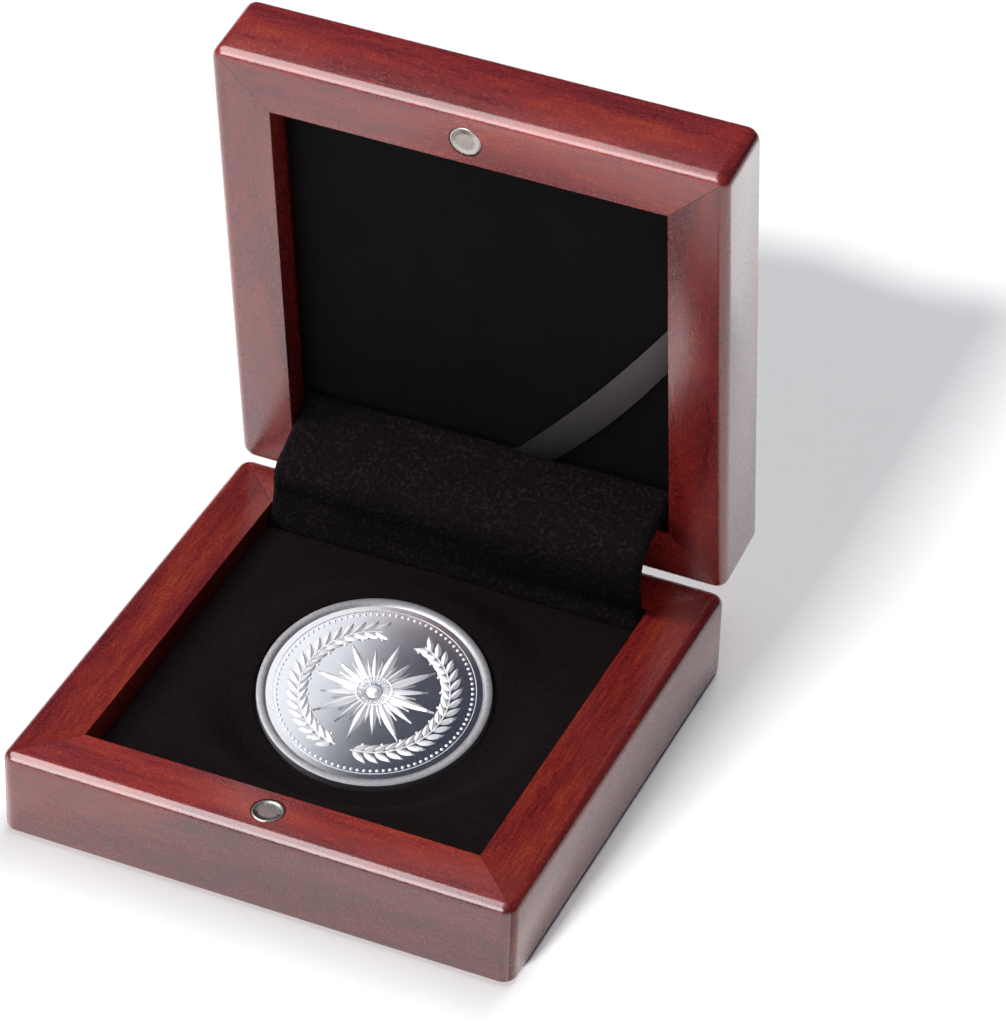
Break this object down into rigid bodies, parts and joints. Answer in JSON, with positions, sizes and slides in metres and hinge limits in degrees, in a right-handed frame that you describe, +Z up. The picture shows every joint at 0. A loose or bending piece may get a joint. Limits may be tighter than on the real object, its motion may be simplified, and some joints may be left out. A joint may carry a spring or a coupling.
{
  "type": "coin display case",
  "caption": "Small hinged wooden case that stands open, with a coin on a sloping seat in a black velour insert, a velvet flap over the hinges and a magnetic closure.",
  "frame": {"origin": "middle of the felt underside, on the surface that the case stands on", "axes": "+X to the right along the hinge axis, +Y to the back, +Z up; the case stands open as in the picture"},
  "size_m": [0.075, 0.0864, 0.0895],
  "materials": {
    "mahogany": "mahogany stained hardwood under satin lacquer",
    "panel_wood": "stained and lacquered board",
    "felt": "black felt",
    "velour": "black velour with a short pile",
    "lining": "smooth black lining cloth",
    "ribbon": "dark grey satin",
    "foam": "soft grey foam",
    "board": "grey liner board",
    "magnet": "nickel plated",
    "brass": "polished brass",
    "silver": "mirror field with frosted relief"
  },
  "bodies": {
    "base": {"base_front_rail": "mahogany", "base_right_rail": "mahogany", "base_rear_rail": "mahogany", "base_left_rail": "mahogany", "base_bottom_panel": "panel_wood", "base_felt": "felt", "base_magnet": "magnet", "insert_block": "foam", "insert_cover": "velour", "coin_seat_pad": "velour", "hinge_flap": "velour", "left_hinge_base_leaf": "brass", "left_hinge_pin": "brass", "right_hinge_base_leaf": "brass", "right_hinge_pin": "brass", "left_hinge_base_screw_1": "brass", "left_hinge_base_screw_2": "brass", "right_hinge_base_screw_1": "brass", "right_hinge_base_screw_2": "brass"},
    "lid": {"lid_front_rail": "mahogany", "lid_right_rail": "mahogany", "lid_rear_rail": "mahogany", "lid_left_rail": "mahogany", "lid_top_panel": "panel_wood", "lid_padding": "foam", "lid_liner_board": "board", "lid_lining": "lining", "certificate_ribbon": "ribbon", "lid_magnet": "magnet", "left_hinge_lid_leaf": "brass", "right_hinge_lid_leaf": "brass", "left_hinge_lid_screw_1": "brass", "left_hinge_lid_screw_2": "brass", "right_hinge_lid_screw_1": "brass", "right_hinge_lid_screw_2": "brass"},
    "coin": {"coin": "silver"}
  },
  "joints": [
    {"name": "lid_hinge", "type": "hinge", "parent": "base", "child": "lid", "pos_m": [0, 0.03725, 0.014], "axis": [1, 0, 0], "range_deg": [-12.6, 82.4], "deforming": ["hinge_flap"]},
    {"name": "coin_lift", "type": "slide", "parent": "base", "child": "coin", "axis": [0.0814, -0.226, 0.9707], "range_m": [0, 0.045]}
  ]
}
